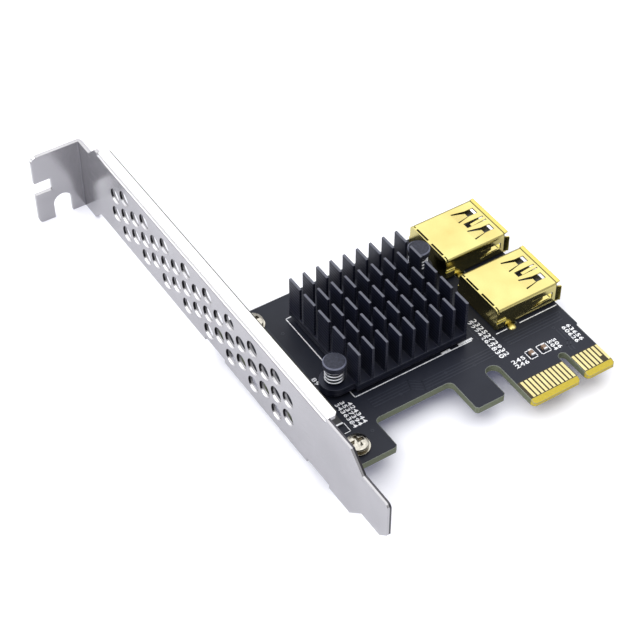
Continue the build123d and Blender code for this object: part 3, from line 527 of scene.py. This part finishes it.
def screenInk():
    # epoxy ink pressed through a screen: flat white with thin spots
    look = {
        "pale": "#f2f3f6", "thin": "#b4b6c0", "spot": 0.3, "thinSpan": (0.38, 0.5),
        "roughness": 0.55, "ior": 1.5,
    }
    material, output, place = startMaterial("screen printed ink")
    spot = addNode(material, "TexNoise", None, {"Vector": place, "Scale": 1 / look["spot"], "Detail": 3.0})
    thick = addNode(material, "MapRange", None, {
        "Value": spot.outputs["Fac"], "From Min": look["thinSpan"][0], "From Max": look["thinSpan"][1]})
    tint = addNode(material, "Mix", {"data_type": "RGBA"}, {
        0: thick.outputs[0], 6: srgb(look["thin"]), 7: srgb(look["pale"])})
    shader = addNode(material, "BsdfPrincipled", None, {
        "Base Color": tint.outputs[2], "Roughness": look["roughness"], "IOR": look["ior"]})
    return finishMaterial(material, output, shader)


def maskedCopper():
    # copper seen through the solder mask: a shade lighter than the board
    look = {"deep": "#21242e", "pale": "#2c303b", "cloud": 5.0, "roughness": 0.4, "ior": 1.3}
    material, output, place = startMaterial("masked copper track")
    cloud = addNode(material, "TexNoise", None, {"Vector": place, "Scale": 1 / look["cloud"], "Detail": 3.0})
    tint = addNode(material, "Mix", {"data_type": "RGBA"}, {
        0: cloud.outputs["Fac"], 6: srgb(look["deep"]), 7: srgb(look["pale"])})
    shader = addNode(material, "BsdfPrincipled", None, {
        "Base Color": tint.outputs[2], "Roughness": look["roughness"], "IOR": look["ior"]})
    return finishMaterial(material, output, shader)


goldShell = polishedGoldShell()
tin = reflowedSolder("reflowed tin", {
    "deep": "#8f9094", "pale": "#cfd0d2", "ripple": 0.3, "bump": 0.4, "relief": 0.03, "roughness": 0.28})
nodeFinishes = {
    maskedLaminate(): ["circuit_board"],
    flashGoldContacts(): [
        "edge_contacts_top", "edge_contacts_bottom", "socket_contacts_1", "socket_contacts_2"],
    goldShell: ["socket_shell_1", "socket_shell_2"],
    nickelPlatedSteel(): ["bracket"],
    platedScrewSteel(): ["bracket_screws", "flat_washers", "lock_washers"],
    drawnSpringWire(): ["push_pin_springs"],
    blackAnodisedAluminium(): ["heatsink"],
    mouldedPlastic("black nylon pins", {
        "deep": "#07080d", "pale": "#3d4050", "rim": "#6d7082", "grit": 0.5, "relief": 0.2, "edge": 0.06,
        "roughness": 0.6, "ior": 1.35}): ["push_pins"],
    mouldedPlastic("black epoxy package", {
        "deep": "#101114", "pale": "#1c1d21", "rim": "#26272c", "grit": 0.12, "relief": 0.01, "edge": 0.04,
        "roughness": 0.6, "ior": 1.55}): ["switch_chip", "resistor_bodies"],
    mouldedPlastic("black insulator", {
        "deep": "#0e0e11", "pale": "#1a1a1f", "rim": "#1a1a1f", "grit": 0.3, "relief": 0.006, "edge": 0.06,
        "roughness": 0.4, "ior": 1.6}): ["socket_body_1", "socket_body_2"],
    mouldedPlastic("silicone pad", {
        "deep": "#6c7480", "pale": "#8b93a0", "rim": "#8b93a0", "grit": 0.2, "relief": 0.01, "edge": 0.05,
        "roughness": 0.8, "ior": 1.41}): ["thermal_pad"],
    firedCeramic(): ["capacitor_bodies"],
    tin: ["chip_terminals"],
}
for finish, names in nodeFinishes.items():
    for name in names:
        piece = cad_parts[name]
        piece.data.materials.clear()
        piece.data.materials.append(finish)
print("materials on", sum(len(names) for names in nodeFinishes.values()), "nodes")


# places that the pieces share, from the frame

boardLow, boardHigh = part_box("circuit_board")
boardTop, boardUnder = boardHigh.z, boardLow.z
shellBoxes = [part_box("socket_shell_1"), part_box("socket_shell_2")]


def addBar(mesh, start, end, width, height, level):
    # a flat strip from start to end in millimetres on the board, standing on the level
    a, b = Vector((*start, 0)) * mm, Vector((*end, 0)) * mm
    run = b - a
    turn = Matrix.Rotation(math.atan2(run.y, run.x), 4, "Z")
    middle = Matrix.Translation((a + b) / 2 + Vector((0, 0, level + height * mm / 2)))
    size = Matrix.Diagonal((run.length + width * mm, width * mm, height * mm, 1))
    bmesh.ops.create_cube(mesh, size=1, matrix=middle @ turn @ size)


def addRing(mesh, centre, look, level):
    # a flat ring on the board: its thin section spun round
    x, y = centre[0] * mm, centre[1] * mm
    inner = (look["radius"] - look["width"] / 2) * mm
    section = [mesh.verts.new((x + inner + s * look["width"] * mm, y, level + t * look["height"] * mm))
               for s, t in ((0, 0), (1, 0), (1, 1), (0, 1))]
    edges = [mesh.edges.new((section[i], section[(i + 1) % 4])) for i in range(4)]
    bmesh.ops.spin(mesh, geom=[*section, *edges], cent=(x, y, level), axis=(0, 0, 1), angle=math.tau,
                   steps=look["steps"], use_merge=True)


def addBox(mesh, low, high, width, height, level):
    # four strips round a rectangle
    corners = [low, (high[0], low[1]), high, (low[0], high[1])]
    for i in range(4):
        addBar(mesh, corners[i], corners[(i + 1) % 4], width, height, level)


def makePiece(name, mesh, material):
    # puts a finished mesh in the scene, on the frame
    bmesh.ops.remove_doubles(mesh, verts=mesh.verts, dist=1e-7)
    bmesh.ops.recalc_face_normals(mesh, faces=mesh.faces)
    data = bpy.data.meshes.new(name)
    mesh.to_mesh(data)
    mesh.free()
    piece = bpy.data.objects.new(name, data)
    bpy.context.scene.collection.objects.link(piece)
    data.materials.append(material)
    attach(piece, "root")


# white print on the board: outlines and plain marks

printLook = {
    "line": 0.22, "partLine": 0.18, "cornerLine": 0.15, "height": 0.02,
    "bold": 0.03, "stretch": 1.45, "spacing": 1.12, "curveSteps": 2,
    "sinkOutline": (-41.45, 20.6, -13.0, 46.3), "sinkTick": 1.3,
    "dashes": [((-19.95, 20.95), (-18.3, 20.95)), ((-15.7, 21.05), (-12.7, 21.05))], "dashWidth": 0.5,
    "socketLineY": 19.3, "socketLines": [(-7.55, -4.95), (-1.55, 7.85)],
    "partBoxes": [(-5.95, 9.8, -4.15, 12.1), (-3.1, 9.7, -0.85, 12.1)],
    "partCorner": [(-47.0, 16.2), (-47.0, 13.8), (-48.3, 13.8)],
    # plain counting numbers: what they say, where they start, how high the type is, and which way they read
    "numbers": [
        ("2224262830", (-10.95, 25.3), 1.5, -90), ("2325272932", (-9.75, 25.3), 1.5, -90),
        ("3436384", (-46.0, 21.2), 1.3, -90), ("3537394", (-44.85, 21.2), 1.3, -90),
        ("424344", (-43.7, 20.2), 1.3, -90), ("89", (-46.2, 29.4), 1.4, -90),
        ("245", (-9.9, 10.6), 1.4, 0), ("246", (-9.9, 9.3), 1.4, 0),
        ("504", (-0.3, 12.1), 1.25, -90), ("506", (0.8, 12.1), 1.25, -90),
        ("60626", (4.7, 13.7), 1.3, -90), ("63656", (5.85, 13.7), 1.3, -90),
    ],
}
mesh = bmesh.new()
line, height = printLook["line"], printLook["height"]
x0, y0, x1, y1 = printLook["sinkOutline"]
addBar(mesh, (x0, y0), (x1, y0), line, height, boardTop)
addBar(mesh, (x0, y0), (x0, y1), line, height, boardTop)
addBar(mesh, (x0, y1), (x0 + printLook["sinkTick"], y1), line, height, boardTop)
for start, end in printLook["dashes"]:
    addBar(mesh, start, end, printLook["dashWidth"], height, boardTop)
for low, high in printLook["socketLines"]:
    addBar(mesh, (low, printLook["socketLineY"]), (high, printLook["socketLineY"]), line, height, boardTop)
for left, low, right, high in printLook["partBoxes"]:
    addBox(mesh, (left, low), (right, high), printLook["partLine"], height, boardTop)
corner = printLook["partCorner"]
for start, end in zip(corner, corner[1:]):
    addBar(mesh, start, end, printLook["cornerLine"], height, boardTop)
for digits, place, size, turn in printLook["numbers"]:
    letters = bpy.data.curves.new("digits", "FONT")
    letters.body, letters.size, letters.resolution_u = digits, size * mm, printLook["curveSteps"]
    letters.space_character = printLook["spacing"]
    letters.extrude, letters.offset = height * mm / 2, printLook["bold"] * mm
    shape = bpy.data.meshes.new_from_object(bpy.data.objects.new("digits", letters))
    shape.transform(Matrix.Translation((place[0] * mm, place[1] * mm, boardTop + height * mm / 2))
                    @ Matrix.Rotation(math.radians(turn), 4, "Z")
                    @ Matrix.Diagonal((printLook["stretch"], 1, 1, 1)))
    mesh.from_mesh(shape)
makePiece("board_print", mesh, screenInk())
print("print done")


# copper tracks under the mask, in bundles of parallel lines

trackLook = {
    "width": 0.24, "height": 0.025, "pitch": 0.72,
    "top": [
        ([(-39.6, 18.6), (-30.2, 18.6), (-27.9, 16.9), (-11.2, 16.9)], 4),
        ([(-11.6, 20.0), (-11.6, 27.5)], 2),
        ([(-7.2, 17.6), (6.4, 17.6)], 4),
        ([(-50.2, 24.6), (-50.2, 29.0), (-47.6, 31.6), (-47.6, 46.2)], 3),
        ([(2.6, 7.4), (2.6, 9.0), (3.4, 10.0), (3.4, 13.6)], 2),
    ],
    "under": [
        ([(-36.0, 18.6), (-28.0, 18.6), (-22.6, 24.0), (-8.6, 24.0)], 6),
        ([(-11.0, 7.6), (-11.0, 20.0), (-13.0, 23.4)], 6),
        ([(-30.0, 45.0), (-18.0, 45.0), (-12.6, 40.0), (-8.8, 40.0)], 6),
        ([(0.6, 8.8), (0.6, 15.0), (4.0, 19.0), (4.0, 47.0)], 5),
    ],
}
copper = maskedCopper()
mesh = bmesh.new()
for level, side in ((boardTop, "top"), (boardUnder - trackLook["height"] * mm, "under")):
    for path, count in trackLook[side]:
        corners = [Vector(p) for p in path]
        runs = [(b - a).normalized() for a, b in zip(corners, corners[1:])]
        for n in range(count):
            # each line is the path pushed sideways by whole pitches, its corners mitred
            points = []
            for before, corner, after in zip([runs[0], *runs], corners, [*runs, runs[-1]]):
                across = (before + after).normalized()
                push = trackLook["pitch"] * n / across.dot(after)
                points.append((corner.x + across.y * push, corner.y - across.x * push))
            for start, end in zip(points, points[1:]):
                addBar(mesh, start, end, trackLook["width"], trackLook["height"], level)
makePiece("board_tracks", mesh, copper)
print("tracks done")


# plated vias: small rings on both faces

viaLook = {
    "radius": 0.3, "width": 0.18, "height": 0.02, "steps": 14,
    "places": [
        (0.6, 8.75), (-8.1, 9.3), (3.3, 14.4), (-16.5, 14.8), (-17.7, 17.1), (-22.6, 16.2), (-33.4, 16.4),
        (-46.7, 24.2), (-50.2, 27.4), (-51.2, 33.8), (-44.2, 43.1), (-12.2, 47.6), (-13.4, 29.8),
        (-9.4, 35.3), (6.9, 17.4), (-25.0, 49.2), (-35.1, 50.1), (-43.4, 11.6),
    ],
}
mesh = bmesh.new()
for centre in viaLook["places"]:
    for level in (boardTop, boardUnder - viaLook["height"] * mm):
        addRing(mesh, centre, viaLook, level)
makePiece("board_vias", mesh, copper)
print("vias done")


# solder cones round the socket tails and legs, under the board, and domes beside the shells on top

solderLook = {
    "tailX": (1.3, 2.9), "longY": (-3.5, -1.0, 1.0, 3.5), "shortY": (-4.1, -2.0, 0.0, 2.0, 4.1),
    "legX": 3.9, "legY": 6.4, "tailRadius": 0.62, "legRadius": 1.15, "height": 0.62, "steps": 14,
    "cone": [(0.0, 0.0), (1.0, 0.0), (0.72, 0.13), (0.5, 0.36), (0.38, 0.7), (0.3, 1.0), (0.0, 1.06)],
    "domeX": 3.6, "domeY": 7.3, "domeRadius": 0.9, "domeHeight": 0.6,
    "dome": [(0.0, 0.0), (1.0, 0.0), (0.96, 0.28), (0.8, 0.6), (0.5, 0.86), (0.0, 1.0)],
}


def addSolder(mesh, x, y, radius, height, level, down, steps, profile):
    # the profile of a fillet or a dome, spun round its middle
    points = [mesh.verts.new((x + r * radius, y, level + down * h * height)) for r, h in profile]
    edges = [mesh.edges.new(pair) for pair in zip(points, points[1:])]
    bmesh.ops.spin(mesh, geom=[*points, *edges], cent=(x, y, level), axis=(0, 0, 1), angle=math.tau,
                   steps=steps, use_merge=True)


mesh = bmesh.new()
domes = bmesh.new()
for low, high in shellBoxes:
    rear, centre = low.x, (low.y + high.y) / 2
    places = [(solderLook["tailX"][0], y, "tailRadius") for y in solderLook["longY"]]
    places += [(solderLook["tailX"][1], y, "tailRadius") for y in solderLook["shortY"]]
    places += [(solderLook["legX"], side * solderLook["legY"], "legRadius") for side in (-1, 1)]
    for x, y, size in places:
        addSolder(mesh, rear + x * mm, centre + y * mm, solderLook[size] * mm, solderLook["height"] * mm,
                  boardUnder, -1, solderLook["steps"], solderLook["cone"])
    for side in (-1, 1):
        addSolder(domes, rear + solderLook["domeX"] * mm, centre + side * solderLook["domeY"] * mm,
                  solderLook["domeRadius"] * mm, solderLook["domeHeight"] * mm, boardTop, 1,
                  solderLook["steps"], solderLook["dome"])
makePiece("solder_joints", mesh, tin)
goldWash = reflowedSolder("gold washed solder", {
    "deep": "#a8954a", "pale": "#e8dc9a", "ripple": 0.5, "bump": 0.4, "relief": 0.03, "roughness": 0.28})
makePiece("leg_solder", domes, goldWash)
print("solder done")


# locking tabs at the shells' rear corners, lying on their side walls
# they are cubes with rounded edges, tilted so that their tops stand off the wall

tabLook = {
    "fromRear": 1.25, "up": 2.45, "long": 2.2, "high": 1.0, "thick": 0.3, "tilt": 10, "wallY": 6.55,
    "rounding": 0.09,
}
mesh = bmesh.new()
for low, high in shellBoxes:
    for side in (-1, 1):
        place = Vector((low.x + tabLook["fromRear"] * mm, (low.y + high.y) / 2 + side * tabLook["wallY"] * mm,
                        boardTop + tabLook["up"] * mm))
        bmesh.ops.create_cube(mesh, size=mm, matrix=Matrix.Translation(place)
                              @ Matrix.Rotation(math.radians(-side * tabLook["tilt"]), 4, "X")
                              @ Matrix.Diagonal((tabLook["long"], tabLook["thick"], tabLook["high"], 1)))
bmesh.ops.bevel(mesh, geom=[*mesh.verts, *mesh.edges], offset=tabLook["rounding"] * mm,
                segments=2, profile=0.5, affect="EDGES", material=-1)
makePiece("shell_tabs", mesh, goldShell)
print("shell tabs done")


# floor, world, lamps and camera

stageLook = {
    "floorSize": 6.0, "floorGap": 0.02, "floorColour": "#fafafc", "glowColour": "#b9bef2", "floorGlow": 0.12,
    "worldLight": 0.4,
    "lamps": [
        {"name": "overhead", "place": (0.05, 0.27, 1.0), "size": 2.0, "watts": 19.5},
        {"name": "left", "place": (-0.75, -0.1, 0.55), "size": 0.9, "watts": 6.5},
    ],
    "aim": (-0.03, 0.04, 0.0),
}


def seenDirectly(owner):
    # one where the eye, a mirror or glass sees it, and nothing where it lights other things
    path = addNode(owner, "LightPath")
    seen = addNode(owner, "Math", {"operation": "MAXIMUM"}, {
        0: path.outputs["Is Camera Ray"], 1: path.outputs["Is Glossy Ray"]})
    seen = addNode(owner, "Math", {"operation": "MAXIMUM"}, {
        0: seen.outputs[0], 1: path.outputs["Is Transmission Ray"]})
    return seen.outputs[0]


floorZ = cadBox[0][2] - stageLook["floorGap"] * mm
bpy.ops.mesh.primitive_plane_add(size=stageLook["floorSize"], location=(0, 0, floorZ))
floor = bpy.context.object
floor.name = "floor"
# pale paper, lifted a little by a bluish glow so that its shadows stay light
paper, output, _ = startMaterial("pale floor")
glow = addNode(paper, "Math", {"operation": "MULTIPLY"}, {0: seenDirectly(paper), 1: stageLook["floorGlow"]})
matt = addNode(paper, "BsdfDiffuse", None, {"Color": srgb(stageLook["floorColour"])})
lit = addNode(paper, "Emission", None, {
    "Color": srgb(stageLook["glowColour"]), "Strength": glow.outputs[0]})
both = addNode(paper, "AddShader", None, {0: matt.outputs[0], 1: lit.outputs[0]})
floor.data.materials.append(finishMaterial(paper, output, both))

# the world shows white and lights the object less than it shows
world = bpy.data.worlds.new("studio")
bpy.context.scene.world = world
world.use_nodes = True
world.node_tree.nodes.clear()
strength = addNode(world, "MapRange", None, {
    "Value": seenDirectly(world), "To Min": stageLook["worldLight"], "To Max": 1.0})
sky = addNode(world, "Background", None, {"Strength": strength.outputs[0]})
addNode(world, "OutputWorld", None, {"Surface": sky.outputs[0]})

for lamp in stageLook["lamps"]:
    light = bpy.data.lights.new(lamp["name"], "AREA")
    light.size = lamp["size"]
    light.energy = lamp["watts"]
    holder = bpy.data.objects.new(lamp["name"], light)
    holder.location = lamp["place"]
    aim = Vector(stageLook["aim"]) - Vector(lamp["place"])
    holder.rotation_euler = aim.to_track_quat("-Z", "Y").to_euler()
    bpy.context.scene.collection.objects.link(holder)

cameraLook = {
    "place": (-172.01, -168.53, 257.74), "tilt": 44.335, "turn": -32.895, "lens": 98.13, "sensor": 36.0,
}
optics = bpy.data.cameras.new("camera")
optics.lens = cameraLook["lens"]
optics.sensor_width = cameraLook["sensor"]
camera = bpy.data.objects.new("camera", optics)
camera.location = Vector(cameraLook["place"]) * mm
camera.rotation_euler = (math.radians(cameraLook["tilt"]), 0, math.radians(cameraLook["turn"]))
bpy.context.scene.collection.objects.link(camera)
bpy.context.scene.camera = camera
bpy.context.scene.view_settings.view_transform = "Standard"
print("stage done")
